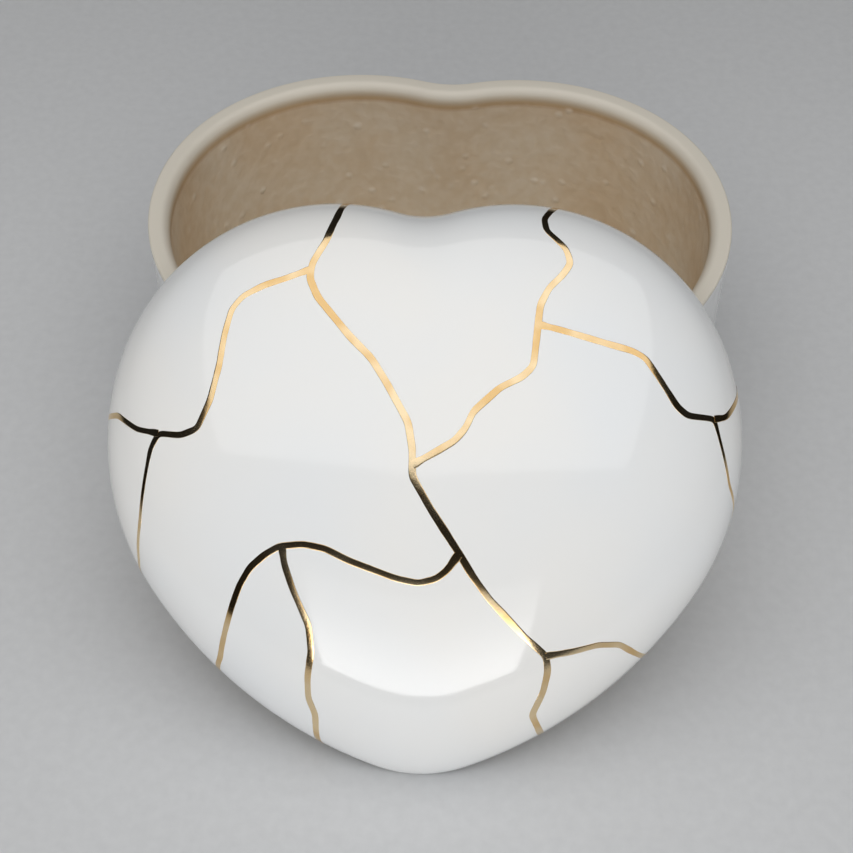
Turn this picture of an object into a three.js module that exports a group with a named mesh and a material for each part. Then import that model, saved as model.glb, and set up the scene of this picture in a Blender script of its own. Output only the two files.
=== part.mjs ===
// Heart-shaped trinket box in ceramic: a deep base with a flat unglazed rim, and a loose
// domed lid decorated with seams of gold. The lid is off the box and leans on its front,
// with its point on the table. Millimetres, +Z up, +X right, the heart's point towards -Y,
// origin on the table under the middle of the base.
import * as THREE from 'three';

const { degToRad } = THREE.MathUtils;

// Heart outline: each half is a chain of tangent arcs from the point round to the notch
const halfWidth = 75;
const pointRadius = 32;
const flankRadius = 108;
const flankAngle = degToRad(-34.5);
const shoulderRadius = 63;
const shoulderY = -6;
const lobeAngle = degToRad(17);
const lobeRadius = 53;
const notchRadius = 23;
const outlineSteps = 96;

// Base
const baseHeight = 67;
const rimWidth = 5.4;
const rimOuterRound = 1;
const rimInnerRound = 1.8;
const wallDraft = 1.2;
const turnHeight = 26;
const turnInset = 15;
const floorThickness = 5;

// Lid
const lidOverhang = 0.6;
const domeHeight = 27.4;
const domePower = 2.2;
const crownRadius = 70;
const edgeBand = 2;
const edgeRound = 0.8;
const domeThickness = 4.6;
const flangeClearance = 0.6;
const flangeWidth = 2.4;
const flangeDepth = 2.5;

// Lid leaning on the front of the base, its own origin under the crown
const lidTilt = degToRad(40);
const lidRoll = degToRad(-1.2);
const lidTurn = degToRad(1.4);
const lidX = -0.7;
const lidY = -67.7;

// Gold seams: brushed strokes that stand on the dome
const goldGap = 0.5;
const goldThickness = 0.5;
const goldStep = 2.2;
const goldEnd = 0.99;

// Arcs of the right half of the heart, from the point to the notch. Side is 1 where the
// arc bulges outwards and -1 in the notch.
function heartArcs() {
  const polar = (angle, length) => new THREE.Vector2(Math.cos(angle), Math.sin(angle)).multiplyScalar(length);
  const shoulder = new THREE.Vector2(halfWidth - shoulderRadius, shoulderY);
  const flank = polar(flankAngle, shoulderRadius - flankRadius).add(shoulder);
  const lobe = polar(lobeAngle, shoulderRadius - lobeRadius).add(shoulder);
  const pointY = flank.y - Math.sqrt((flankRadius - pointRadius) ** 2 - flank.x ** 2);
  const notchY = lobe.y + Math.sqrt((notchRadius + lobeRadius) ** 2 - lobe.x ** 2);
  return {
    point: { centre: new THREE.Vector2(0, pointY), radius: pointRadius, side: 1 },
    flank: { centre: flank, radius: flankRadius, side: 1 },
    shoulder: { centre: shoulder, radius: shoulderRadius, side: 1 },
    lobe: { centre: lobe, radius: lobeRadius, side: 1 },
    notch: { centre: new THREE.Vector2(0, notchY), radius: notchRadius, side: -1 },
  };
}

const arcs = heartArcs();
const arcOrder = [arcs.point, arcs.flank, arcs.shoulder, arcs.lobe, arcs.notch];

// Two tangent arcs meet on the line through their centres
const joins = [
  [arcs.flank, arcs.point],
  [arcs.flank, arcs.shoulder],
  [arcs.shoulder, arcs.lobe],
  [arcs.lobe, arcs.notch],
].map(([from, towards]) => ({
  arc: from,
  direction: towards.centre.clone().sub(from.centre).normalize(),
}));

// Distance from the middle of the heart to its outline moved in by inset, along an angle
function heartRadius(angle, inset) {
  const folded = Math.asin(Math.sin(angle));
  const passed = joins.filter(({ arc, direction }) => {
    const join = direction.clone().multiplyScalar(arc.radius - inset).add(arc.centre);
    return Math.atan2(join.y, join.x) < folded;
  });
  const { centre, radius, side } = arcOrder[passed.length];
  const along = centre.x * Math.cos(folded) + centre.y * Math.sin(folded);
  const reach = (radius - side * inset) ** 2 - centre.lengthSq() + along ** 2;
  return along + side * Math.sqrt(reach);
}

// One turn of points around the heart, at the radius and height given for each angle
function ring(pointAt) {
  return Array.from({ length: outlineSteps }, (_, i) => pointAt((2 * Math.PI * i) / outlineSteps));
}

function flatRing(inset, z) {
  return ring((angle) => {
    const radius = heartRadius(angle, inset);
    return new THREE.Vector3(radius * Math.cos(angle), radius * Math.sin(angle), z);
  });
}

// Rings along a quarter of an ellipse, which leaves its start upright or level
function cornerRings(fromInset, fromZ, toInset, toZ, uprightFirst, steps) {
  return Array.from({ length: steps }, (_, i) => {
    const turn = ((i + 1) / steps) * (Math.PI / 2);
    const slow = 1 - Math.cos(turn);
    const fast = Math.sin(turn);
    const inset = THREE.MathUtils.lerp(fromInset, toInset, uprightFirst ? slow : fast);
    const z = THREE.MathUtils.lerp(fromZ, toZ, uprightFirst ? fast : slow);
    return flatRing(inset, z);
  });
}

// Closed solid through rings of equal length, with a fan of triangles at each end
function loft(rings, firstCentre, lastCentre) {
  const count = rings[0].length;
  const corners = [firstCentre, ...rings.flat(), lastCentre];
  const last = corners.length - 1;
  const index = [];
  for (let j = 0; j < count; j++) {
    const next = (j + 1) % count;
    index.push(0, 1 + next, 1 + j);
    for (let i = 0; i < rings.length - 1; i++) {
      const low = 1 + i * count;
      const high = low + count;
      index.push(low + j, low + next, high + next);
      index.push(low + j, high + next, high + j);
    }
    index.push(last, last - count + j, last - count + next);
  }
  const geometry = new THREE.BufferGeometry().setFromPoints(corners);
  geometry.setIndex(index);
  geometry.computeVertexNormals();
  return geometry;
}

function named(name, geometry, material) {
  const mesh = new THREE.Mesh(geometry, material);
  mesh.name = name;
  return mesh;
}

// Base: one hollow shell, up the outside, over the rim and down to the floor
function baseGeometry() {
  const footInset = wallDraft + turnInset;
  const innerWall = rimWidth + wallDraft;
  const rings = [
    flatRing(footInset, 0),
    ...cornerRings(footInset, 0, wallDraft, turnHeight, false, 5),
    flatRing(0, baseHeight - rimOuterRound),
    ...cornerRings(0, baseHeight - rimOuterRound, rimOuterRound, baseHeight, true, 2),
    flatRing(rimWidth - rimInnerRound, baseHeight),
    ...cornerRings(rimWidth - rimInnerRound, baseHeight, rimWidth, baseHeight - rimInnerRound, false, 3),
    flatRing(innerWall, turnHeight),
    ...cornerRings(innerWall, turnHeight, innerWall + turnInset, floorThickness, true, 5),
  ];
  return loft(rings, new THREE.Vector3(0, 0, 0), new THREE.Vector3(0, 0, floorThickness));
}

// Point of a dome whose rings change from a circle at the crown to the heart at the edge
function domePoint(share, angle, inset, bottom, height) {
  const edge = heartRadius(angle, inset);
  const radius = share * THREE.MathUtils.lerp(crownRadius - inset, edge, share);
  const z = bottom + height * (1 - share ** domePower) ** (1 / domePower);
  return new THREE.Vector3(radius * Math.cos(angle), radius * Math.sin(angle), z);
}

// Shares of the way from the crown to the edge, closing up towards the edge
function domeShares(steps) {
  return Array.from({ length: steps }, (_, i) => Math.sin(((i + 1) / steps) * (Math.PI / 2)));
}

// Lid: one hollow shell, from under the crown down the inside, round the flange that
// locates it in the base, across the flat seat, and up over the outside
function lidGeometry() {
  const flangeOuter = rimWidth + flangeClearance;
  const flangeInner = flangeOuter + flangeWidth;
  const innerHeight = edgeBand + domeHeight - domeThickness;
  const inside = domeShares(10).map((share) =>
    ring((angle) => domePoint(share, angle, flangeInner, 0, innerHeight)),
  );
  const outside = domeShares(14).map((share) =>
    ring((angle) => domePoint(share, angle, -lidOverhang, edgeBand, domeHeight)),
  );
  const rings = [
    ...inside,
    flatRing(flangeInner, -flangeDepth + edgeRound),
    flatRing(flangeInner - edgeRound, -flangeDepth),
    flatRing(flangeOuter + edgeRound, -flangeDepth),
    flatRing(flangeOuter, -flangeDepth + edgeRound),
    flatRing(flangeOuter, 0),
    flatRing(edgeRound - lidOverhang, 0),
    ...cornerRings(edgeRound - lidOverhang, 0, -lidOverhang, edgeRound, false, 3),
    ...outside.reverse(),
  ];
  const underCrown = new THREE.Vector3(0, 0, innerHeight);
  const crown = new THREE.Vector3(0, 0, edgeBand + domeHeight);
  return loft(rings, underCrown, crown);
}

// Share of the way from crown to edge at which the outer dome passes over a plan point
function domeShare(plan) {
  const crown = crownRadius + lidOverhang;
  const edge = heartRadius(plan.angle(), -lidOverhang);
  const length = plan.length();
  return (2 * length) / (crown + Math.sqrt(crown ** 2 + 4 * (edge - crown) * length));
}

// Place on the outer dome above a plan point, with the surface's normal there
function onDome(plan) {
  const nudge = 0.002;
  const share = Math.min(domeShare(plan), goldEnd);
  const angle = plan.angle();
  const outer = (s, a) => domePoint(s, a, -lidOverhang, edgeBand, domeHeight);
  const along = outer(share + nudge, angle).sub(outer(share - nudge, angle));
  const across = outer(share, angle + nudge).sub(outer(share, angle - nudge));
  return { place: outer(share, angle), normal: along.cross(across).normalize() };
}

// Flat stroke of gold that follows the dome under a smooth line through plan points.
// It starts trim along the line, so that a branch stops beside the stroke it leaves.
function goldStroke({ points, width, trim }) {
  const line = new THREE.CatmullRomCurve3(
    points.map(([x, y]) => new THREE.Vector3(x, y, 0)),
    false,
    'centripetal',
  );
  const length = line.getLength();
  const steps = Math.round((length - trim) / goldStep);
  const stations = Array.from({ length: steps + 1 }, (_, i) => {
    const { x, y } = line.getPointAt((trim + ((length - trim) * i) / steps) / length);
    return onDome(new THREE.Vector2(x, y));
  });
  const rings = stations.map(({ place, normal }, i) => {
    const before = stations[Math.max(i - 1, 0)].place;
    const after = stations[Math.min(i + 1, steps)].place;
    const side = normal.clone().cross(after.clone().sub(before)).setLength(width / 2);
    const under = place.clone().addScaledVector(normal, goldGap);
    const top = under.clone().addScaledVector(normal, goldThickness);
    return [
      under.clone().sub(side),
      under.clone().add(side),
      top.clone().add(side),
      top.clone().sub(side),
    ];
  });
  const middle = (corners) => corners[0].clone().add(corners[2]).multiplyScalar(0.5);
  return loft(rings, middle(rings[0]), middle(rings[steps]));
}

// The strokes, as plan points on the lid seen from above: one spine from the left lobe
// over the crown to the point, and the branches that leave it and each other
const goldSeams = [
  {
    name: 'gold_spine',
    width: 1.8,
    trim: 0,
    points: [
      [-19.5, 51], [-20, 45], [-22, 39], [-25, 33.5], [-25.5, 30], [-23.5, 25.5], [-16, 16.5],
      [-11, 11.5], [-7.5, 6], [-2.5, -3], [-1.5, -9], [-1.5, -15], [2.5, -22], [9, -32], [12, -37],
      [16, -42.5], [24, -51], [29, -55.5], [29.5, -59], [28.5, -64], [26, -69.5], [28, -74],
      [28.5, -76],
    ],
  },
  {
    name: 'gold_left_loop',
    width: 1.7,
    trim: 2.2,
    points: [
      [-25.5, 32], [-31, 30], [-36, 28.5], [-41, 26], [-43.5, 23], [-45, 17], [-46, 10], [-48, 2],
      [-51, -4.5], [-55, -6], [-60.5, -5.5], [-62.5, -9], [-64, -16], [-65.5, -26], [-66.5, -35],
      [-67.5, -38],
    ],
  },
  {
    name: 'gold_left_tip',
    width: 1.4,
    trim: 2.4,
    points: [
      [-60.5, -5.5], [-66, -4.5], [-68.5, -3], [-71.5, -1], [-75, -1],
    ],
  },
  {
    name: 'gold_right_lobe',
    width: 1.7,
    trim: 2,
    points: [
      [-1.5, -12.5], [3, -10], [8, -7], [10.5, -4], [12, -0.5], [18, 5], [23, 7.5], [25.5, 10],
      [26.5, 19.5], [27, 24], [29, 28], [32, 31], [34, 34], [33, 37.5], [28.5, 42], [28, 45],
      [30.5, 48.5], [33, 50.5],
    ],
  },
  {
    name: 'gold_right_reach',
    width: 1.7,
    trim: 2,
    points: [
      [26.5, 19.5], [31, 18.5], [42, 15.5], [48, 14], [51, 12.5], [53.5, 9], [58.5, 1.5], [61, -0.5],
      [67.5, -1], [69, -6], [71.5, -16], [73.5, -22],
    ],
  },
  {
    name: 'gold_right_tip',
    width: 1.4,
    trim: 2.2,
    points: [
      [67.5, -1], [70.5, -0.5], [72.5, 2], [75, 6],
    ],
  },
  {
    name: 'gold_low_left',
    width: 1.7,
    trim: 2,
    points: [
      [9, -32.5], [6.5, -36], [4, -38], [0, -39], [-5, -38], [-16, -34], [-21, -31.5], [-26, -30.5],
      [-31.5, -31], [-35, -33], [-38.5, -36], [-41, -40], [-43, -45], [-46.5, -57], [-47.5, -60],
    ],
  },
  {
    name: 'gold_low_left_branch',
    width: 1.7,
    trim: 2.2,
    points: [
      [-31, -31], [-30.5, -35], [-28.5, -41], [-25, -49], [-24.5, -55], [-25.5, -61], [-25.5, -66],
      [-24, -70], [-24, -78],
    ],
  },
  {
    name: 'gold_low_right_branch',
    width: 1.6,
    trim: 2.4,
    points: [
      [29, -55.5], [35, -54.5], [41, -53], [46, -53], [52.5, -56],
    ],
  },
];

const bareCeramic = new THREE.MeshStandardMaterial({ color: 0xc4bbad, roughness: 0.85, metalness: 0 });
const whiteGlaze = new THREE.MeshStandardMaterial({ color: 0xeceae6, roughness: 0.1, metalness: 0 });
const goldLustre = new THREE.MeshStandardMaterial({ color: 0xd9a648, roughness: 0.2, metalness: 1 });

const lid = new THREE.Group();
lid.add(named('lid_shell', lidGeometry(), whiteGlaze));
for (const seam of goldSeams) {
  lid.add(named(seam.name, goldStroke(seam), goldLustre));
}
lid.rotation.set(lidTilt, lidRoll, lidTurn, 'ZYX');
lid.position.set(lidX, lidY, 0);
lid.updateMatrixWorld(true);
lid.position.z = -new THREE.Box3().setFromObject(lid, true).min.z;

const trinketBox = new THREE.Group();
trinketBox.add(named('base_shell', baseGeometry(), bareCeramic));
trinketBox.add(lid);

export default trinketBox;
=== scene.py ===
import math

import bpy
from mathutils import Matrix, Vector


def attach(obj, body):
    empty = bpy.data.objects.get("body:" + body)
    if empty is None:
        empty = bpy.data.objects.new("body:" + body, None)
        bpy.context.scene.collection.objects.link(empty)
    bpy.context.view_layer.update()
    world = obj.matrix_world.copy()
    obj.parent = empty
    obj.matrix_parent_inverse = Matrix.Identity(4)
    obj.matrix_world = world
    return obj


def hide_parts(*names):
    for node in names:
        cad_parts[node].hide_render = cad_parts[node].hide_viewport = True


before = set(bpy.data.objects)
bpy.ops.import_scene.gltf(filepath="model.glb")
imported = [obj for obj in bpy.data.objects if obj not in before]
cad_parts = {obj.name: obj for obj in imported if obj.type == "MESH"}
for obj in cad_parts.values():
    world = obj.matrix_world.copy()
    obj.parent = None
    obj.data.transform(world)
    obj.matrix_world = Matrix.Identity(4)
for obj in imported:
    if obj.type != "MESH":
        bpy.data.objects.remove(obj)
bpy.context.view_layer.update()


# ---------------------------------------------------------------------------------------
# Base: a slip-cast heart-shaped bowl, one shell of pale stoneware. It is drawn out of a
# plaster mould, so its wall leans in a little and turns under to a flat foot. The rim is
# wiped flat and left bare as the lid's seat, and its inner edge is sponged round.

MM = 0.001
HALF_WIDTH = 75.0
SHOULDER_RADIUS = 63.0
SHOULDER_Y = -6.0
BASE_HEIGHT = 67.0
RIM_WIDTH = 5.4
RIM_OUTER_ROUND = 0.5
RIM_INNER_ROUND = 2.5
RIM_INNER_DROP = 3.4
WALL_DRAFT = 1.2
TURN_HEIGHT = 26.0
TURN_INSET = 15.0
FLOOR_THICKNESS = 5.0
FLOOR_CIRCLE = 40.0
FLOOR_RINGS = 12
AROUND = 384


def heart_arcs():
    """(centre, radius, side) of the arcs up the heart's right side, point to notch, in mm.
    Side is 1 where the arc bulges outwards and -1 in the notch."""
    point_radius, flank_radius, lobe_radius, notch_radius = 32.0, 108.0, 53.0, 23.0
    flank_join, lobe_join = -34.5, 17.0
    shoulder = Vector((HALF_WIDTH - SHOULDER_RADIUS, SHOULDER_Y))

    def seen_from_shoulder(degrees, length):
        turn = math.radians(degrees)
        return shoulder + length * Vector((math.cos(turn), math.sin(turn)))

    flank = seen_from_shoulder(flank_join, SHOULDER_RADIUS - flank_radius)
    lobe = seen_from_shoulder(lobe_join, SHOULDER_RADIUS - lobe_radius)
    point_y = flank.y - math.sqrt((flank_radius - point_radius) ** 2 - flank.x**2)
    notch_y = lobe.y + math.sqrt((notch_radius + lobe_radius) ** 2 - lobe.x**2)
    return [
        (Vector((0, point_y)), point_radius, 1),
        (flank, flank_radius, 1),
        (shoulder, SHOULDER_RADIUS, 1),
        (lobe, lobe_radius, 1),
        (Vector((0, notch_y)), notch_radius, -1),
    ]


def heart_radius(turn, outset=0.0):
    """Distance in mm from the heart's middle to its outline grown by outset."""
    arcs = heart_arcs()
    folded = math.asin(math.sin(turn))
    passed = 0
    for start, end in ((1, 0), (1, 2), (2, 3), (3, 4)):
        centre, radius, _ = arcs[start]
        join = centre + (arcs[end][0] - centre).normalized() * (radius + outset)
        passed += math.atan2(join.y, join.x) < folded
    centre, radius, side = arcs[passed]
    along = centre.x * math.cos(folded) + centre.y * math.sin(folded)
    return along + side * math.sqrt((radius + side * outset) ** 2 - centre.length_squared + along**2)


def line_object(name, points, cyclic):
    """A curve object through points in mm, joined by straight lines."""
    curve = bpy.data.curves.new(name, "CURVE")
    curve.dimensions = "3D"
    spline = curve.splines.new("POLY")
    spline.points.add(len(points) - 1)
    for knot, point in zip(spline.points, points):
        knot.co = (*(Vector(point) * MM).to_3d(), 1.0)
    spline.use_cyclic_u = cyclic
    line = bpy.data.objects.new(name, curve)
    bpy.context.scene.collection.objects.link(line)
    return line


# A wall's section is a list of (height, outset) points in mm, from its lower or inner end.

def straight(start, end, steps):
    """Points from start to end, without start."""
    return [tuple(Vector(start).lerp(Vector(end), step / steps)) for step in range(1, steps + 1)]


def corner(start, end, upright_first, steps):
    """Points round a quarter of an ellipse, which leaves its start upright or level."""
    points = []
    for step in range(1, steps + 1):
        turn = step / steps * math.pi / 2
        slow, fast = 1 - math.cos(turn), math.sin(turn)
        rise, reach = (fast, slow) if upright_first else (slow, fast)
        points.append((start[0] + (end[0] - start[0]) * rise, start[1] + (end[1] - start[1]) * reach))
    return points


def length(points):
    """Length of a section in mm."""
    return sum((Vector(b) - Vector(a)).length for a, b in zip(points[:-1], points[1:]))


def add(tree, kind, inputs=None, **settings):
    """Adds a node with its settings. Each input is a value, or the socket that feeds it."""
    node = tree.nodes.new(kind)
    for name, value in settings.items():
        setattr(node, name, value)
    for name, value in (inputs or {}).items():
        if isinstance(value, bpy.types.NodeSocket):
            tree.links.new(value, node.inputs[name])
        else:
            node.inputs[name].default_value = value
    return node


def shell_nodes():
    """Geometry Nodes that carry a wall's section round the heart's outline, and close each
    end of it with a dome whose plan goes from the heart to a circle at the crown. A dome
    with no rise is a flat floor. The attribute seam_m is the distance up the section from
    where the first finish changes to the last."""
    weld, sharp_degrees = 0.002 * MM, 50
    tree = bpy.data.node_groups.new("heart_shell", "GeometryNodeTree")
    sockets = tree.interface
    sockets.new_socket("Geometry", in_out="INPUT", socket_type="NodeSocketGeometry")
    sockets.new_socket("Section", in_out="INPUT", socket_type="NodeSocketObject")
    for name in ("Around", "Rings"):
        sockets.new_socket(name, in_out="INPUT", socket_type="NodeSocketInt")
    for name in ("Seam", "First rise", "First crown", "Last rise", "Last crown", "Power"):
        sockets.new_socket(name, in_out="INPUT", socket_type="NodeSocketFloat")
    for name in ("First finish", "Last finish"):
        sockets.new_socket(name, in_out="INPUT", socket_type="NodeSocketMaterial")
    sockets.new_socket("Geometry", in_out="OUTPUT", socket_type="NodeSocketGeometry")
    given = add(tree, "NodeGroupInput").outputs

    def maths(operation, first, second=0.0):
        node = add(tree, "ShaderNodeMath", {0: first, 1: second}, operation=operation)
        return node.outputs["Value"]

    section = add(tree, "GeometryNodeObjectInfo", {"Object": given["Section"]}).outputs["Geometry"]
    climbed = add(tree, "GeometryNodeSplineParameter").outputs["Length"]
    section = add(
        tree, "GeometryNodeStoreNamedAttribute",
        {"Geometry": section, "Name": "seam_m", "Value": maths("SUBTRACT", climbed, given["Seam"])},
        data_type="FLOAT", domain="POINT",
    ).outputs["Geometry"]
    in_section = add(
        tree, "GeometryNodeAttributeDomainSize", {"Geometry": section}, component="CURVE",
    ).outputs["Point Count"]
    outline = add(
        tree, "GeometryNodeSetCurveNormal", {"Curve": given["Geometry"], "Normal": (0, 0, 1)}, mode="FREE",
    ).outputs["Curve"]
    wall = add(
        tree, "GeometryNodeCurveToMesh", {"Curve": outline, "Profile Curve": section},
    ).outputs["Mesh"]
    seam = add(
        tree, "GeometryNodeInputNamedAttribute", {"Name": "seam_m"}, data_type="FLOAT",
    ).outputs["Attribute"]
    place = add(tree, "GeometryNodeInputPosition").outputs["Position"]

    def dome(first, rise, crown):
        columns, rows = maths("ADD", given["Around"], 1), maths("ADD", given["Rings"], 1)
        grid = add(
            tree, "GeometryNodeMeshGrid",
            {"Size X": 1.0, "Size Y": 1.0, "Vertices X": columns, "Vertices Y": rows},
        ).outputs["Mesh"]
        spot = add(tree, "ShaderNodeSeparateXYZ", {"Vector": place}).outputs
        column = maths("ROUND", maths("MULTIPLY", maths("ADD", spot["X"], 0.5), given["Around"]))
        column = maths("FLOORED_MODULO", column, given["Around"])
        index = maths("MULTIPLY", column, in_section)
        if not first:
            index = maths("ADD", index, maths("SUBTRACT", in_section, 1))
        edge = add(
            tree, "GeometryNodeSampleIndex",
            {"Geometry": wall, "Value": place, "Index": index}, data_type="FLOAT_VECTOR",
        ).outputs["Value"]
        mark = add(
            tree, "GeometryNodeSampleIndex",
            {"Geometry": wall, "Value": seam, "Index": index}, data_type="FLOAT",
        ).outputs["Value"]
        share = maths("SINE", maths("MULTIPLY", maths("ADD", spot["Y"], 0.5), math.pi / 2))
        level = add(tree, "ShaderNodeSeparateXYZ", {"Vector": edge}).outputs
        flat = add(tree, "ShaderNodeCombineXYZ", {"X": level["X"], "Y": level["Y"]}).outputs["Vector"]
        ray = add(tree, "ShaderNodeVectorMath", {0: flat}, operation="NORMALIZE").outputs["Vector"]
        circle = add(
            tree, "ShaderNodeVectorMath", {0: ray, "Scale": crown}, operation="SCALE",
        ).outputs["Vector"]
        plan = add(
            tree, "ShaderNodeMix", {"Factor": share, "A": circle, "B": flat}, data_type="VECTOR",
        ).outputs["Result"]
        plan = add(
            tree, "ShaderNodeVectorMath", {0: plan, "Scale": share}, operation="SCALE",
        ).outputs["Vector"]
        fall = maths("SUBTRACT", 1.0, maths("POWER", share, given["Power"]))
        fall = maths("POWER", maths("MAXIMUM", fall, 0.0), maths("DIVIDE", 1.0, given["Power"]))
        up = maths("ADD", level["Z"], maths("MULTIPLY", fall, rise))
        up = add(tree, "ShaderNodeCombineXYZ", {"Z": up}).outputs["Vector"]
        target = add(tree, "ShaderNodeVectorMath", {0: plan, 1: up}, operation="ADD").outputs["Vector"]
        marked = add(
            tree, "GeometryNodeStoreNamedAttribute",
            {"Geometry": grid, "Name": "seam_m", "Value": mark}, data_type="FLOAT", domain="POINT",
        ).outputs["Geometry"]
        shaped = add(
            tree, "GeometryNodeSetPosition", {"Geometry": marked, "Position": target},
        ).outputs["Geometry"]
        return shaped if first else add(tree, "GeometryNodeFlipFaces", {"Mesh": shaped}).outputs["Mesh"]

    parts = add(tree, "GeometryNodeJoinGeometry")
    outside = add(tree, "GeometryNodeFlipFaces", {"Mesh": wall}).outputs["Mesh"]
    tree.links.new(outside, parts.inputs["Geometry"])
    tree.links.new(dome(True, given["First rise"], given["First crown"]), parts.inputs["Geometry"])
    tree.links.new(dome(False, given["Last rise"], given["Last crown"]), parts.inputs["Geometry"])
    closed = add(
        tree, "GeometryNodeMergeByDistance", {"Geometry": parts.outputs["Geometry"], "Distance": weld},
    ).outputs["Geometry"]
    smooth = add(tree, "GeometryNodeSetShadeSmooth", {"Geometry": closed}).outputs["Geometry"]
    bend = add(tree, "GeometryNodeInputMeshEdgeAngle").outputs["Unsigned Angle"]
    sharp = maths("GREATER_THAN", bend, math.radians(sharp_degrees))
    smooth = add(
        tree, "GeometryNodeSetShadeSmooth",
        {"Geometry": smooth, "Selection": sharp, "Shade Smooth": False}, domain="EDGE",
    ).outputs["Geometry"]
    real = add(tree, "GeometryNodeRealizeInstances", {"Geometry": smooth}).outputs["Geometry"]
    finished = add(
        tree, "GeometryNodeSetMaterial", {"Geometry": real, "Material": given["First finish"]},
    ).outputs["Geometry"]
    finished = add(
        tree, "GeometryNodeSetMaterial",
        {
            "Geometry": finished, "Selection": maths("GREATER_THAN", seam, 0.0),
            "Material": given["Last finish"],
        },
    ).outputs["Geometry"]
    tree.links.new(finished, add(tree, "NodeGroupOutput").inputs["Geometry"])
    return tree


def made(name, line, tree, inputs):
    """Runs a tree on a line object and keeps the result as a plain mesh object."""
    modifier = line.modifiers.new(name, "NODES")
    modifier.node_group = tree
    for socket in tree.interface.items_tree:
        if socket.in_out == "INPUT" and socket.name in inputs:
            modifier[socket.identifier] = inputs[socket.name]
    bpy.context.view_layer.update()
    mesh = bpy.data.meshes.new_from_object(line.evaluated_get(bpy.context.evaluated_depsgraph_get()))
    line.modifiers.remove(modifier)
    bpy.data.objects.remove(line)
    piece = bpy.data.objects.new(name, mesh)
    bpy.context.scene.collection.objects.link(piece)
    return piece


def heart_line(name):
    """The heart's outline, from its right side anticlockwise."""
    turns = [step / AROUND * 2 * math.pi for step in range(AROUND)]
    rays = [Vector((math.cos(turn), math.sin(turn), 0)) * heart_radius(turn) for turn in turns]
    return line_object(name, rays, cyclic=True)


def linear(hex_colour):
    """An sRGB hex colour such as c8c0b2 as linear RGBA."""
    values = [int(hex_colour[i:i + 2], 16) / 255 for i in (0, 2, 4)]
    return [*(v / 12.92 if v <= 0.04045 else ((v + 0.055) / 1.055) ** 2.4 for v in values), 1.0]


def ramp(tree, factor, stops):
    """A colour ramp with (place, hex colour) stops."""
    node = add(tree, "ShaderNodeValToRGB", {"Fac": factor})
    elements = node.color_ramp.elements
    for i, (place, hex_colour) in enumerate(stops):
        stop = elements[i] if i < 2 else elements.new(place)
        stop.position, stop.color = place, linear(hex_colour)
    return node.outputs["Color"]


def new_material(name):
    """An empty material with its tree, its object coordinates and its output."""
    material = bpy.data.materials.new(name)
    material.use_nodes = True
    tree = material.node_tree
    tree.nodes.clear()
    place = add(tree, "ShaderNodeTexCoord").outputs["Object"]
    return material, tree, place, add(tree, "ShaderNodeOutputMaterial")


def tin_glaze(foot_mm):
    # Tin-white gloss glaze, sprayed and fired: a layer of clouded glass, so it mirrors a
    # window sharply over an even white. It ripples a little where it ran, drifts slowly
    # from warm to cool, has a rare pinhole, and thins to the clay's cream at its edges.
    # It is wiped off the foot, which is foot_mm below the seam.
    ripple_mm, drift_mm, pinhole_mm, edge_mm, wiped_mm = 16.0, 50.0, 24.0, 0.6, 0.8
    material, tree, place, output = new_material("tin_white_gloss_glaze")
    drift = add(tree, "ShaderNodeTexNoise", {"Vector": place, "Scale": 1 / (drift_mm * MM), "Detail": 2.0})
    white = ramp(tree, drift.outputs["Fac"], [(0.35, "eef0f1"), (0.65, "f3f2ef")])
    cells = add(tree, "ShaderNodeTexVoronoi", {"Vector": place, "Scale": 1 / (pinhole_mm * MM)})
    pinhole = add(
        tree, "ShaderNodeMapRange",
        {
            "Value": cells.outputs["Distance"], "From Min": 0.008, "From Max": 0.022,
            "To Min": 0.35, "To Max": 0.0,
        },
    )
    colour = add(
        tree, "ShaderNodeMix",
        {"Factor": pinhole.outputs["Result"], "A": white, "B": linear("b9b2a6")}, data_type="RGBA",
    ).outputs["Result"]
    seam = add(tree, "ShaderNodeAttribute", attribute_name="seam_m").outputs["Fac"]
    from_seam = add(tree, "ShaderNodeMath", {0: seam}, operation="ABSOLUTE").outputs["Value"]
    thin = add(
        tree, "ShaderNodeMapRange",
        {"Value": from_seam, "From Min": 0.1 * MM, "From Max": edge_mm * MM, "To Min": 0.7, "To Max": 0.0},
    ).outputs["Result"]
    foot = add(
        tree, "ShaderNodeMapRange",
        {
            "Value": seam, "From Min": -foot_mm * MM, "From Max": (wiped_mm - foot_mm) * MM,
            "To Min": 1.0, "To Max": 0.0,
        },
    ).outputs["Result"]
    clay = add(tree, "ShaderNodeMath", {0: thin, 1: foot}, operation="MAXIMUM").outputs["Value"]
    colour = add(
        tree, "ShaderNodeMix", {"Factor": clay, "A": colour, "B": linear("cdc1ab")}, data_type="RGBA",
    ).outputs["Result"]
    rough = add(tree, "ShaderNodeMapRange", {"Value": foot, "To Min": 0.06, "To Max": 0.6}).outputs["Result"]
    ripple = add(tree, "ShaderNodeTexNoise", {"Vector": place, "Scale": 1 / (ripple_mm * MM), "Detail": 1.0})
    bump = add(
        tree, "ShaderNodeBump",
        {"Height": ripple.outputs["Fac"], "Distance": 0.06 * MM, "Strength": 0.6},
    )
    surface = add(
        tree, "ShaderNodeBsdfPrincipled",
        {"Base Color": colour, "Roughness": rough, "IOR": 1.5, "Normal": bump.outputs["Normal"]},
    )
    tree.links.new(surface.outputs["BSDF"], output.inputs["Surface"])
    return material


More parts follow.
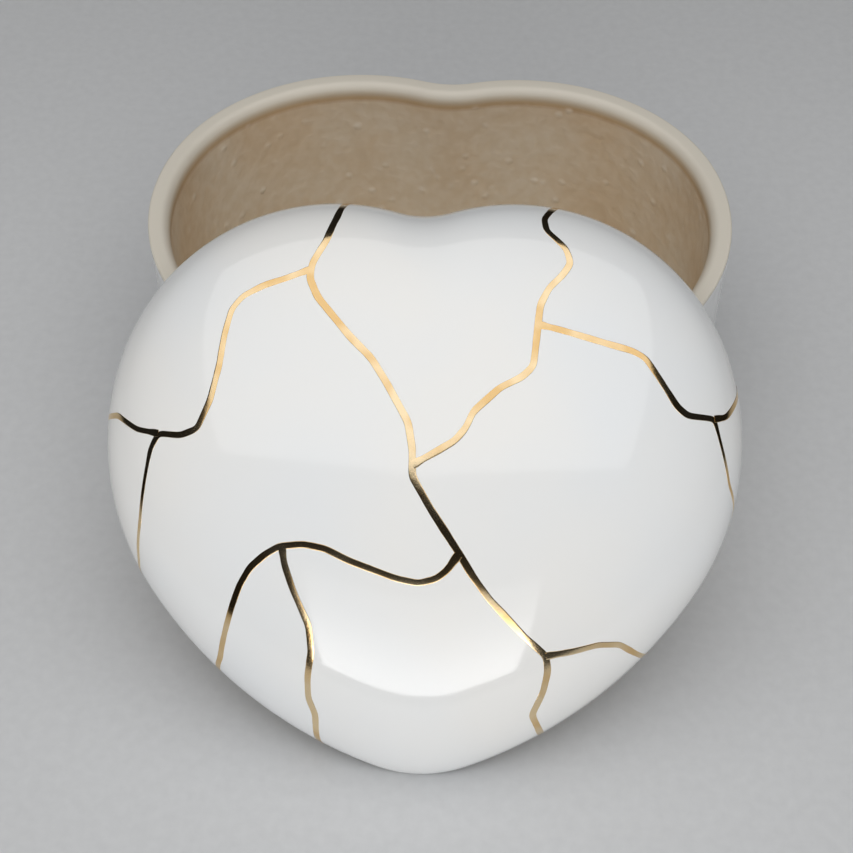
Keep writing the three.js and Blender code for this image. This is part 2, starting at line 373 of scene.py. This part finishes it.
def bare_stoneware(name, seat_mm):
    # Stoneware left bare on the seat, where it is cream, dry and faintly streaked by the
    # sponge. Down the seat's inner round it is painted darker, into a soft brown band of
    # painted shade just past the seat's end, for the shadow under the rim's edge. In the
    # hollow the clay is painted a little lighter and warmer than on the seat, for the light
    # that bounces round inside it, and it has an orange-peel skin with round blisters, whose
    # tops are painted pale as highlights.
    grain_mm, skin_mm, blister_mm, cloud_mm, streak_mm = 0.5, 3.2, 5.5, 30.0, 0.8
    # The first three distances are where the brown band of painted shade starts, ends and fades out, past the
    # seat's end.
    shade_band_start_mm, shade_band_end_mm, shade_band_fade_mm, before_mm, depth_mm = 0.3, 0.9, 2.2, 2.0, 16.0
    material, tree, place, output = new_material(name)
    seam = add(tree, "ShaderNodeAttribute", attribute_name="seam_m").outputs["Fac"]
    from_seam = add(tree, "ShaderNodeMath", {0: seam}, operation="ABSOLUTE").outputs["Value"]
    # 0 is a little short of the seat's end, and 1 is well past it, down in the hollow.
    start_mm = seat_mm - before_mm
    inwards = add(
        tree, "ShaderNodeMapRange",
        {"Value": from_seam, "From Min": start_mm * MM, "From Max": (start_mm + depth_mm) * MM},
    ).outputs["Result"]
    end = before_mm / depth_mm
    # Painted light: e4d7c2 and e9deca are the seat's clay painted lighter and warmer in the hollow, for the
    # light that bounces round inside it.
    # Painted shade: d3c7b3 darkens the seat's inner round, and c3ab8a and c3a987 are a brown band of painted
    # shadow just past the seat's end.
    body = ramp(tree, inwards, [
        (0.0, "e0d9cb"), (end / 2, "d3c7b3"), (end + shade_band_start_mm / depth_mm, "c3ab8a"),
        (end + shade_band_end_mm / depth_mm, "c3a987"), (end + shade_band_fade_mm / depth_mm, "e4d7c2"), (1.0, "e9deca"),
    ])
    inside = add(
        tree, "ShaderNodeMapRange", {"Value": inwards, "From Min": end, "From Max": end + 0.1},
    ).outputs["Result"]
    cloud = add(tree, "ShaderNodeTexNoise", {"Vector": place, "Scale": 1 / (cloud_mm * MM), "Detail": 1.0})
    clouds = ramp(tree, cloud.outputs["Fac"], [(0.35, "f7eee4"), (0.65, "fdfcfc")])
    skin = add(tree, "ShaderNodeTexNoise", {"Vector": place, "Scale": 1 / (skin_mm * MM), "Detail": 1.0})
    skins = ramp(tree, skin.outputs["Fac"], [(0.35, "f9f6f1"), (0.65, "ffffff")])
    tint = add(
        tree, "ShaderNodeMix", {"Factor": 1.0, "A": clouds, "B": skins},
        data_type="RGBA", blend_type="MULTIPLY",
    ).outputs["Result"]
    body = add(
        tree, "ShaderNodeMix", {"Factor": inside, "A": body, "B": tint},
        data_type="RGBA", blend_type="MULTIPLY",
    ).outputs["Result"]
    cells = add(tree, "ShaderNodeTexVoronoi", {"Vector": place, "Scale": 1 / (blister_mm * MM)})
    blister = add(
        tree, "ShaderNodeMapRange",
        {
            "Value": cells.outputs["Distance"], "From Min": 0.03, "From Max": 0.3,
            "To Min": 1.0, "To Max": 0.0,
        },
        interpolation_type="SMOOTHSTEP",
    ).outputs["Result"]
    some = add(
        tree, "ShaderNodeMapRange", {"Value": cells.outputs["Color"], "From Min": 0.2, "From Max": 0.6},
    ).outputs["Result"]
    blister = add(tree, "ShaderNodeMath", {0: blister, 1: some}, operation="MULTIPLY").outputs["Value"]
    blister = add(tree, "ShaderNodeMath", {0: blister, 1: inside}, operation="MULTIPLY").outputs["Value"]
    # Painted highlight: the pale f4eee2 on each blister's top stands in for the shine it catches; the
    # blister's bump is real.
    pale = add(tree, "ShaderNodeMath", {0: blister, 1: 0.4}, operation="MULTIPLY").outputs["Value"]
    colour = add(
        tree, "ShaderNodeMix", {"Factor": pale, "A": body, "B": linear("f4eee2")}, data_type="RGBA",
    ).outputs["Result"]
    grain = add(tree, "ShaderNodeTexNoise", {"Vector": place, "Scale": 1 / (grain_mm * MM), "Detail": 2.0})
    across = add(tree, "ShaderNodeCombineXYZ", {"X": seam}).outputs["Vector"]
    streak = add(tree, "ShaderNodeTexNoise", {"Vector": across, "Scale": 1 / (streak_mm * MM), "Detail": 2.0})
    fine = add(
        tree, "ShaderNodeMix",
        {"Factor": 0.4, "A": grain.outputs["Fac"], "B": streak.outputs["Fac"]}, data_type="FLOAT",
    ).outputs["Result"]
    fine_bump = add(tree, "ShaderNodeBump", {"Height": fine, "Distance": 0.05 * MM, "Strength": 0.5})
    peel = add(
        tree, "ShaderNodeMath", {0: skin.outputs["Fac"], 1: inside}, operation="MULTIPLY",
    ).outputs["Value"]
    peel_bump = add(
        tree, "ShaderNodeBump",
        {"Height": peel, "Distance": 0.5 * MM, "Strength": 0.6, "Normal": fine_bump.outputs["Normal"]},
    )
    blister_bump = add(
        tree, "ShaderNodeBump",
        {"Height": blister, "Distance": 0.28 * MM, "Strength": 0.7, "Normal": peel_bump.outputs["Normal"]},
    )
    rough = add(
        tree, "ShaderNodeMapRange", {"Value": inside, "To Min": 0.42, "To Max": 0.62},
    ).outputs["Result"]
    surface = add(
        tree, "ShaderNodeBsdfPrincipled",
        {"Base Color": colour, "Roughness": rough, "IOR": 1.5, "Normal": blister_bump.outputs["Normal"]},
    )
    tree.links.new(surface.outputs["BSDF"], output.inputs["Surface"])
    return material


wall_foot = (0.0, -WALL_DRAFT - TURN_INSET)
wall_turn = (TURN_HEIGHT, -WALL_DRAFT)
rim_start = (BASE_HEIGHT - RIM_OUTER_ROUND, 0.0)
rim_flat_start = (BASE_HEIGHT, -RIM_OUTER_ROUND)
rim_flat_end = (BASE_HEIGHT, RIM_INNER_ROUND - RIM_WIDTH)
rim_end = (BASE_HEIGHT - RIM_INNER_DROP, -RIM_WIDTH)
inner_turn = (TURN_HEIGHT, -RIM_WIDTH - WALL_DRAFT)
inner_foot = (FLOOR_THICKNESS, -RIM_WIDTH - WALL_DRAFT - TURN_INSET)
glazed = [wall_foot, *corner(wall_foot, wall_turn, False, 20), *straight(wall_turn, rim_start, 12)]
rim = [
    *corner(rim_start, rim_flat_start, True, 6),
    *straight(rim_flat_start, rim_flat_end, 4),
    *corner(rim_flat_end, rim_end, False, 12),
]
hollow = [*straight(rim_end, inner_turn, 12), *corner(inner_turn, inner_foot, True, 20)]
glazed_mm = length(glazed)
white_glaze = tin_glaze(glazed_mm)
shell_tree = shell_nodes()
base_section = line_object("base_section", glazed + rim + hollow, cyclic=False)
base = made(
    "heart_base",
    heart_line("base_outline"),
    shell_tree,
    {
        "Section": base_section, "Around": AROUND, "Rings": FLOOR_RINGS,
        "Seam": glazed_mm * MM, "Power": 2.0,
        "First rise": 0.0, "First crown": FLOOR_CIRCLE * MM,
        "Last rise": 0.0, "Last crown": FLOOR_CIRCLE * MM,
        "First finish": white_glaze,
        "Last finish": bare_stoneware("bare_stoneware_base", length([rim_start, *rim])),
    },
)
bpy.data.objects.remove(base_section)
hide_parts("base_shell")
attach(base, "base")


# ---------------------------------------------------------------------------------------
# Lid: a second slip-cast shell, domed, glazed white outside. Its seat and the low flange
# that drops inside the base's rim are wiped bare. Loose, it leans on the front of the
# base, with its point on the table.

LID_OVERHANG = 0.6
DOME_HEIGHT = 27.4
DOME_POWER = 2.2
CROWN_RADIUS = 70.0
EDGE_BAND = 2.0
EDGE_ROUND = 0.8
EDGE_FLARE = 0.3
DOME_THICKNESS = 4.6
FLANGE_CLEARANCE = 0.6
FLANGE_WIDTH = 2.4
FLANGE_DEPTH = 2.5
DOME_RINGS = 90
LID_TILT, LID_ROLL, LID_TURN = 40.0, -1.2, 1.4
LID_X, LID_Y = -0.7, -67.7

flange_outer = -RIM_WIDTH - FLANGE_CLEARANCE
flange_inner = flange_outer - FLANGE_WIDTH
flange_low = -FLANGE_DEPTH
flange_soft = flange_low + EDGE_ROUND
seat_end = (0.0, LID_OVERHANG + EDGE_FLARE - EDGE_ROUND)
seat = [
    (0.0, flange_inner),
    *straight((0.0, flange_inner), (flange_soft, flange_inner), 2),
    *corner((flange_soft, flange_inner), (flange_low, flange_inner + EDGE_ROUND), True, 5),
    *straight((flange_low, flange_inner + EDGE_ROUND), (flange_low, flange_outer - EDGE_ROUND), 2),
    *corner((flange_low, flange_outer - EDGE_ROUND), (flange_soft, flange_outer), False, 5),
    *straight((flange_soft, flange_outer), (0.0, flange_outer), 2),
    *straight((0.0, flange_outer), seat_end, 4),
]
edge_low = (EDGE_ROUND, LID_OVERHANG + EDGE_FLARE)
edge = [
    *corner(seat_end, edge_low, False, 6),
    *straight(edge_low, (EDGE_BAND, LID_OVERHANG), 3),
]
lid_section = line_object("lid_section", seat + edge, cyclic=False)
lid = made(
    "heart_lid",
    heart_line("lid_outline"),
    shell_tree,
    {
        "Section": lid_section, "Around": AROUND, "Rings": DOME_RINGS,
        "Seam": length(seat) * MM, "Power": DOME_POWER,
        "First rise": (EDGE_BAND + DOME_HEIGHT - DOME_THICKNESS) * MM,
        "First crown": (CROWN_RADIUS + flange_inner) * MM,
        "Last rise": DOME_HEIGHT * MM,
        "Last crown": (CROWN_RADIUS + LID_OVERHANG) * MM,
        "First finish": bare_stoneware("bare_stoneware_lid", length(seat)),
        "Last finish": white_glaze,
    },
)
bpy.data.objects.remove(lid_section)
lid_turned = (
    Matrix.Rotation(math.radians(LID_TURN), 4, "Z")
    @ Matrix.Rotation(math.radians(LID_ROLL), 4, "Y")
    @ Matrix.Rotation(math.radians(LID_TILT), 4, "X")
)
lowest = min((lid_turned @ vertex.co).z for vertex in lid.data.vertices)
lid_place = Matrix.Translation((LID_X * MM, LID_Y * MM, -lowest)) @ lid_turned
lid.data.transform(lid_place)
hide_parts("lid_shell")
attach(lid, "lid")


# ---------------------------------------------------------------------------------------
# Gold seams: bright gold lustre brushed over the fired glaze in branching lines and fired
# again, so each stroke stands up a hair with soft sides, and swells where the brush
# pressed. Geometry Nodes lay one stroke at a time on the dome.

STROKE_HEIGHT = 0.07
STROKE_STEP = 0.5
STROKE_EASING = 4
STROKE_SWELL = 0.2

# (width at its start, width past its last branch, plan points on the lid) of each stroke,
# in mm. A branch starts on its stem.
GOLD_STROKES = {
    "gold_spine": (1.8, 1.7, [
        (-18.5, 54), (-20, 45), (-22, 39), (-25, 33.5), (-25.5, 30), (-23.5, 25.5), (-16, 16.5),
        (-11, 11.5), (-7.5, 6), (-2.5, -3), (-1.5, -9), (-1.5, -15), (2.5, -22), (9, -32), (12, -37),
        (16, -42.5), (24, -51), (29, -55.5), (29.5, -59), (28.5, -64), (26, -69.5), (28, -74),
        (30, -79),
    ]),
    "gold_left_loop": (1.6, 1.0, [
        (-25.5, 32), (-31, 30), (-36, 28.5), (-41, 26), (-43.5, 23), (-45, 17), (-46, 10), (-48, 2),
        (-51, -4.5), (-55, -6), (-60.5, -5.5), (-62.5, -9), (-64, -16), (-65.5, -26), (-66.5, -35),
        (-68.5, -41),
    ]),
    "gold_left_tip": (1.4, 1.4, [
        (-60.5, -5.5), (-66, -4.5), (-68.5, -3), (-71.5, -1), (-78, -1.5),
    ]),
    "gold_right_lobe": (1.7, 1.6, [
        (-1.5, -12.5), (3, -10), (8, -7), (10.5, -4), (12, -0.5), (18, 5), (23, 7.5), (25.5, 10),
        (26.5, 19.5), (27, 24), (29, 28), (32, 31), (34, 34), (33, 37.5), (28.5, 42), (28, 45),
        (30.5, 48.5), (35, 53),
    ]),
    "gold_right_reach": (1.6, 0.9, [
        (26.5, 19.5), (31, 18.5), (42, 15.5), (48, 14), (51, 12.5), (53.5, 9), (58.5, 1.5), (61, -0.5),
        (67.5, -1), (69, -6), (71.5, -16), (75, -26),
    ]),
    "gold_right_tip": (1.4, 1.4, [
        (67.5, -1), (70.5, -0.5), (72.5, 2), (77, 9),
    ]),
    "gold_low_left": (1.7, 1.6, [
        (9, -32.5), (6.5, -36), (4, -38), (0, -39), (-5, -38), (-16, -34), (-21, -31.5), (-26, -30.5),
        (-31.5, -31), (-35, -33), (-38.5, -36), (-41, -40), (-43, -45), (-46.5, -57), (-49, -63),
    ]),
    "gold_low_left_branch": (1.6, 1.6, [
        (-31, -31), (-30.5, -35), (-28.5, -41), (-25, -49), (-24.5, -55), (-25.5, -61), (-25.5, -66),
        (-24, -70), (-23.5, -81),
    ]),
    "gold_low_right_branch": (1.6, 1.5, [
        (29, -55.5), (35, -54.5), (41, -53), (46, -53), (55, -58),
    ]),
}


def on_dome(x, y):
    """Point in metres on the lid's outside over a plan point in mm. A plan point past the
    edge lies down the band below it, by as much as it is past."""
    turn, reach = math.atan2(y, x), math.hypot(x, y)
    crown, rim_reach = CROWN_RADIUS + LID_OVERHANG, heart_radius(turn, LID_OVERHANG)
    past = max(reach - rim_reach, 0.0)
    reach = min(reach, rim_reach)
    share = 2 * reach / (crown + math.sqrt(crown**2 + 4 * (rim_reach - crown) * reach))
    up = EDGE_BAND + DOME_HEIGHT * max(1 - share**DOME_POWER, 0) ** (1 / DOME_POWER)
    spot = Vector((reach * math.cos(turn), reach * math.sin(turn), max(up - past, EDGE_ROUND)))
    return lid_place @ (spot * MM)


def gold_lustre():
    # Bright gold lustre: a film of real gold, so a metal with a warm colour of its own,
    # nearly mirror smooth. It is pale in a light and almost black where the room is dark,
    # with brush lines too shallow to see but as a broken shine.
    brush_mm, patch_mm = 0.6, 9.0
    material, tree, place, output = new_material("bright_gold_lustre")
    patch = add(tree, "ShaderNodeTexNoise", {"Vector": place, "Scale": 1 / (patch_mm * MM), "Detail": 2.0})
    gold = ramp(tree, patch.outputs["Fac"], [(0.38, "e2bd84"), (0.62, "f4dcb3")])
    rough = add(
        tree, "ShaderNodeMapRange", {"Value": patch.outputs["Fac"], "To Min": 0.07, "To Max": 0.16},
    ).outputs["Result"]
    brush = add(tree, "ShaderNodeTexNoise", {"Vector": place, "Scale": 1 / (brush_mm * MM), "Detail": 2.0})
    bump = add(
        tree, "ShaderNodeBump",
        {"Height": brush.outputs["Fac"], "Distance": 0.015 * MM, "Strength": 0.35},
    )
    surface = add(
        tree, "ShaderNodeBsdfPrincipled",
        {"Base Color": gold, "Metallic": 1.0, "Roughness": rough, "Normal": bump.outputs["Normal"]},
    )
    tree.links.new(surface.outputs["BSDF"], output.inputs["Surface"])
    return material


def stroke_nodes():
    """Geometry Nodes that lay a line on the dome and carry a brush stroke's low section
    along it. Its width swells at random, pools where it leaves its stem, and changes to
    the far width well past the middle."""
    tip, pool_end, noise_size = 0.8 * MM, 3 * MM, 6 * MM
    thinning_start, thinning_end = 0.6, 0.68
    tree = bpy.data.node_groups.new("brushed_stroke", "GeometryNodeTree")
    sockets = tree.interface
    sockets.new_socket("Geometry", in_out="INPUT", socket_type="NodeSocketGeometry")
    for name in ("Dome", "Section"):
        sockets.new_socket(name, in_out="INPUT", socket_type="NodeSocketObject")
    for name in ("Width", "Far width", "Height", "Step", "Swell", "Seed"):
        sockets.new_socket(name, in_out="INPUT", socket_type="NodeSocketFloat")
    sockets.new_socket("Easing", in_out="INPUT", socket_type="NodeSocketInt")
    sockets.new_socket("Gold", in_out="INPUT", socket_type="NodeSocketMaterial")
    sockets.new_socket("Geometry", in_out="OUTPUT", socket_type="NodeSocketGeometry")
    given = add(tree, "NodeGroupInput").outputs

    def maths(operation, first, second):
        node = add(tree, "ShaderNodeMath", {0: first, 1: second}, operation=operation)
        return node.outputs["Value"]

    dome = add(tree, "GeometryNodeObjectInfo", {"Object": given["Dome"]}).outputs["Geometry"]
    line = add(
        tree, "GeometryNodeResampleCurve",
        {"Curve": given["Geometry"], "Length": given["Step"]}, mode="LENGTH",
    ).outputs["Curve"]
    place = add(tree, "GeometryNodeInputPosition").outputs["Position"]
    walked = add(tree, "GeometryNodeSplineParameter").outputs["Length"]
    left = maths("SUBTRACT", add(tree, "GeometryNodeSplineLength").outputs["Length"], walked)
    inner = maths("GREATER_THAN", maths("MINIMUM", walked, left), maths("DIVIDE", given["Step"], 2))
    eased = add(
        tree, "GeometryNodeBlurAttribute", {"Value": place, "Iterations": given["Easing"], "Weight": inner},
        data_type="FLOAT_VECTOR",
    ).outputs["Value"]
    line = add(tree, "GeometryNodeSetPosition", {"Geometry": line, "Position": eased}).outputs["Geometry"]
    nearest = add(
        tree, "GeometryNodeProximity", {0: dome}, target_element="FACES",
    ).outputs["Position"]
    line = add(tree, "GeometryNodeSetPosition", {"Geometry": line, "Position": nearest}).outputs["Geometry"]
    face_up = add(tree, "GeometryNodeInputNormal").outputs["Normal"]
    up = add(
        tree, "GeometryNodeSampleNearestSurface", {"Mesh": dome, "Value": face_up}, data_type="FLOAT_VECTOR",
    ).outputs["Value"]
    line = add(
        tree, "GeometryNodeSetCurveNormal", {"Curve": line, "Normal": up}, mode="FREE",
    ).outputs["Curve"]
    pressure = add(
        tree, "ShaderNodeTexNoise", {"W": given["Seed"], "Scale": 1 / noise_size, "Detail": 3.0},
        noise_dimensions="4D",
    ).outputs["Fac"]
    swell = add(
        tree, "ShaderNodeMapRange",
        {"Value": pressure, "From Min": 0.3, "From Max": 0.7, "To Min": 0.0, "To Max": given["Swell"]},
    ).outputs["Result"]
    pool = add(
        tree, "ShaderNodeMapRange",
        {"Value": walked, "From Min": tip, "From Max": pool_end, "To Min": 1.1, "To Max": 0.86},
        interpolation_type="SMOOTHSTEP",
    ).outputs["Result"]
    thinning = add(
        tree, "ShaderNodeMapRange",
        {
            "Value": add(tree, "GeometryNodeSplineParameter").outputs["Factor"],
            "From Min": thinning_start, "From Max": thinning_end,
            "To Min": 1.0, "To Max": maths("DIVIDE", given["Far width"], given["Width"]),
        },
        interpolation_type="SMOOTHSTEP",
    ).outputs["Result"]
    section = add(tree, "GeometryNodeObjectInfo", {"Object": given["Section"]}).outputs["Geometry"]
    size = add(tree, "ShaderNodeCombineXYZ", {"X": given["Height"], "Y": given["Width"], "Z": 1.0})
    section = add(
        tree, "GeometryNodeTransform", {"Geometry": section, "Scale": size.outputs["Vector"]},
    ).outputs["Geometry"]
    stroke = add(
        tree, "GeometryNodeCurveToMesh",
        {
            "Curve": line, "Profile Curve": section, "Fill Caps": True,
            "Scale": maths("MULTIPLY", maths("ADD", pool, swell), thinning),
        },
    ).outputs["Mesh"]
    smooth = add(tree, "GeometryNodeSetShadeSmooth", {"Geometry": stroke}).outputs["Geometry"]
    real = add(tree, "GeometryNodeRealizeInstances", {"Geometry": smooth}).outputs["Geometry"]
    gilded = add(
        tree, "GeometryNodeSetMaterial", {"Geometry": real, "Material": given["Gold"]},
    ).outputs["Geometry"]
    tree.links.new(gilded, add(tree, "NodeGroupOutput").inputs["Geometry"])
    return tree


def rounded(value):
    """Squares off a circle's sine or cosine, which gives a flat oval with soft corners."""
    return math.copysign(abs(value) ** 0.4, value)


gold = gold_lustre()
stroke_tree = stroke_nodes()
oval = [step / 20 * 2 * math.pi for step in range(20)]
brush_mark = line_object(
    "brush_mark", [(rounded(math.sin(t)) / MM, rounded(math.cos(t)) / 2 / MM) for t in oval], cyclic=True,
)
for seed, (node_name, (width_mm, far_mm, plan)) in enumerate(GOLD_STROKES.items()):
    stroke_line = line_object(node_name + "_line", [on_dome(x, y) / MM for x, y in plan], cyclic=False)
    stroke = made(
        node_name.replace("gold", "lustre"),
        stroke_line,
        stroke_tree,
        {
            "Dome": lid, "Section": brush_mark, "Width": width_mm * MM, "Far width": far_mm * MM,
            "Height": STROKE_HEIGHT * MM, "Step": STROKE_STEP * MM, "Easing": STROKE_EASING,
            "Swell": STROKE_SWELL, "Seed": float(seed), "Gold": gold,
        },
    )
    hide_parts(node_name)
    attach(stroke, "lid")
bpy.data.objects.remove(brush_mark)


# ---------------------------------------------------------------------------------------
# Studio: a plain pale floor, one large soft light overhead, a low soft one in front, and
# the camera close above the front of the box.

FLOOR_HALF = 3.0


def floor_paper():
    # Matt off-white background paper, with a faint fibre.
    fibre_mm = 3.0
    material, tree, place, output = new_material("matt_background_paper")
    fibre = add(tree, "ShaderNodeTexNoise", {"Vector": place, "Scale": 1 / (fibre_mm * MM), "Detail": 4.0})
    tone = ramp(tree, fibre.outputs["Fac"], [(0.3, "d2d3d4"), (0.7, "d7d8d9")])
    surface = add(tree, "ShaderNodeBsdfPrincipled", {"Base Color": tone, "Roughness": 0.9})
    tree.links.new(surface.outputs["BSDF"], output.inputs["Surface"])
    return material


floor_mesh = bpy.data.meshes.new("studio_floor")
floor_corners = [(-1, -1), (1, -1), (1, 1), (-1, 1)]
floor_mesh.from_pydata([(x * FLOOR_HALF, y * FLOOR_HALF, 0) for x, y in floor_corners], [], [(0, 1, 2, 3)])
floor_mesh.materials.append(floor_paper())
floor = bpy.data.objects.new("studio_floor", floor_mesh)
bpy.context.scene.collection.objects.link(floor)


def soft_light(name, place, aim, size, watts, low_share, high_share):
    """A rectangular softbox at place, facing aim, in metres, whose brightness goes from
    low_share of its full value at one long edge to high_share at the other."""
    light = bpy.data.lights.new(name, "AREA")
    light.shape, light.size, light.size_y, light.energy = "RECTANGLE", *size, watts
    light.use_nodes = True
    tree = light.node_tree
    spot = add(tree, "ShaderNodeNewGeometry").outputs["Parametric"]
    up = add(tree, "ShaderNodeSeparateXYZ", {"Vector": spot}).outputs["Y"]
    share = add(
        tree, "ShaderNodeMapRange", {"Value": up, "To Min": low_share, "To Max": high_share},
        interpolation_type="SMOOTHSTEP",
    ).outputs["Result"]
    tree.links.new(share, tree.nodes["Emission"].inputs["Strength"])
    holder = bpy.data.objects.new(name, light)
    holder.location = place
    holder.rotation_euler = (Vector(place) - Vector(aim)).to_track_quat("Z", "Y").to_euler()
    bpy.context.scene.collection.objects.link(holder)


soft_light("overhead_softbox", (-0.03, -0.215, 0.7), (-0.03, -0.215, 0), (1.35, 1.03), 4.9, 1.0, 1.0)
soft_light("front_softbox", (-0.01, -1.5, 0.42), (0, 0, 0.2), (1.15, 0.6), 11.0, 1.0, 0.15)
# Light that the room's pale walls throw back, too even to show in the gloss.
soft_light("room_fill", (0.1, -1.1, 1.1), (0, 0, 0.05), (1.2, 1.2), 4.2, 1.0, 1.0)
bpy.data.objects["room_fill"].visible_glossy = False

world = bpy.data.worlds.new("studio_dusk")
world.use_nodes = True
world.node_tree.nodes["Background"].inputs["Color"].default_value = linear("8a8c90")
world.node_tree.nodes["Background"].inputs["Strength"].default_value = 0.05
bpy.context.scene.world = world
bpy.context.scene.view_settings.view_transform = "Standard"

CAMERA_PLACE = (0.0153, -0.3662, 0.3752)
ELEVATION, AZIMUTH, ROLL = 47.35, 2.95, 0.13
SENSOR_MM, LENS_MM = 36.0, 77.07
camera_data = bpy.data.cameras.new("camera")
camera_data.sensor_width, camera_data.lens, camera_data.clip_start = SENSOR_MM, LENS_MM, 0.01
camera = bpy.data.objects.new("camera", camera_data)
camera.matrix_world = (
    Matrix.Translation(CAMERA_PLACE)
    @ Matrix.Rotation(math.radians(AZIMUTH), 4, "Z")
    @ Matrix.Rotation(math.radians(90 - ELEVATION), 4, "X")
    @ Matrix.Rotation(math.radians(ROLL), 4, "Z")
)
bpy.context.scene.collection.objects.link(camera)
bpy.context.scene.camera = camera
